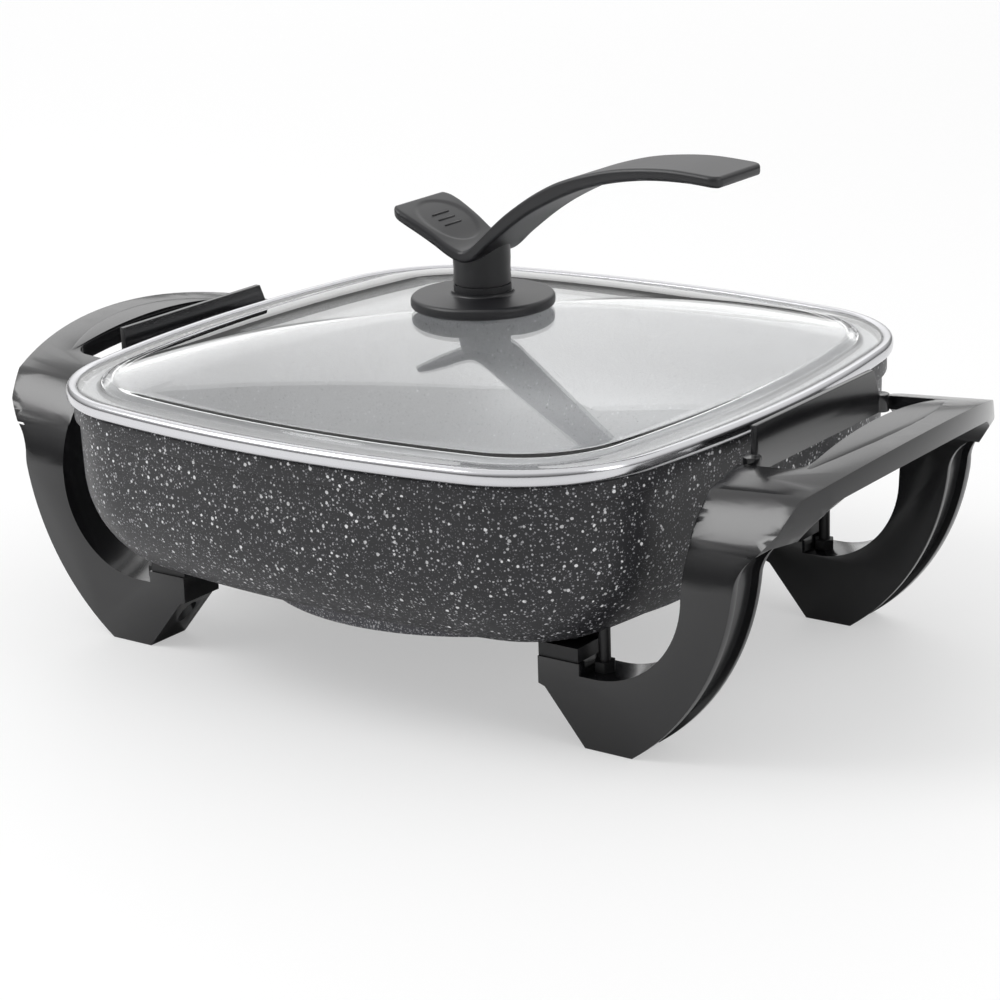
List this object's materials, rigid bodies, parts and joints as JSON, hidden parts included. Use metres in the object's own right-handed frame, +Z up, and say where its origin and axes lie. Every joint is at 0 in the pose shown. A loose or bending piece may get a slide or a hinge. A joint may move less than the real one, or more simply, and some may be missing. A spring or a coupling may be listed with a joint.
{
  "type": "electric hot pot with lid",
  "caption": "Square electric hot pot: deep non-stick pan on two black leg-and-grip frames, with a lift-off domed glass lid and a winged knob.",
  "frame": {"origin": "on the table under the centre of the pan", "axes": "+X to the right along the front face, through the right handle; +Y to the back; +Z up"},
  "size_m": [0.424, 0.3, 0.212],
  "materials": {
    "coating": "die-cast aluminium under a dark speckled non-stick coating",
    "cast_metal": "bare die-cast aluminium",
    "sheath": "matt heater sheath",
    "frame_plastic": "glossy black moulded thermoset",
    "guard_plastic": "black moulded plastic",
    "zinc": "zinc-plated steel",
    "inlet_plastic": "matt black heat-resistant plastic",
    "insulator": "cream ceramic",
    "pin_steel": "nickel-plated pin",
    "rim_steel": "polished rolled stainless steel",
    "lid_glass": "clear pressed tempered glass",
    "seal": "grey silicone",
    "knob_plastic": "satin black moulded phenolic"
  },
  "bodies": {
    "pot": {"pan_body": "coating", "heating_element": "sheath", "right_handle_frame": "frame_plastic", "left_handle_frame": "frame_plastic", "right_finger_guard": "guard_plastic", "left_finger_guard": "guard_plastic", "front_right_leg_spacer": "inlet_plastic", "front_left_leg_spacer": "inlet_plastic", "back_right_leg_spacer": "inlet_plastic", "back_left_leg_spacer": "inlet_plastic", "leg_screws": "zinc", "leg_studs": "zinc", "stud_nuts": "zinc", "inlet_shroud": "inlet_plastic", "shroud_screws": "zinc", "inlet_insulator": "insulator", "terminal_pin_front": "pin_steel", "terminal_pin_back": "pin_steel", "probe_tube": "sheath"},
    "lid": {"lid_rim_band": "rim_steel", "lid_glass": "lid_glass", "knob_seal": "seal", "knob_disc": "knob_plastic", "knob_post": "knob_plastic", "knob_handle": "knob_plastic", "knob_washer": "zinc", "knob_screw": "zinc"}
  },
  "joints": [
    {"name": "lid_lift", "type": "slide", "parent": "pot", "child": "lid", "axis": [0, 0, 1], "range_m": [0, 0.15]}
  ]
}
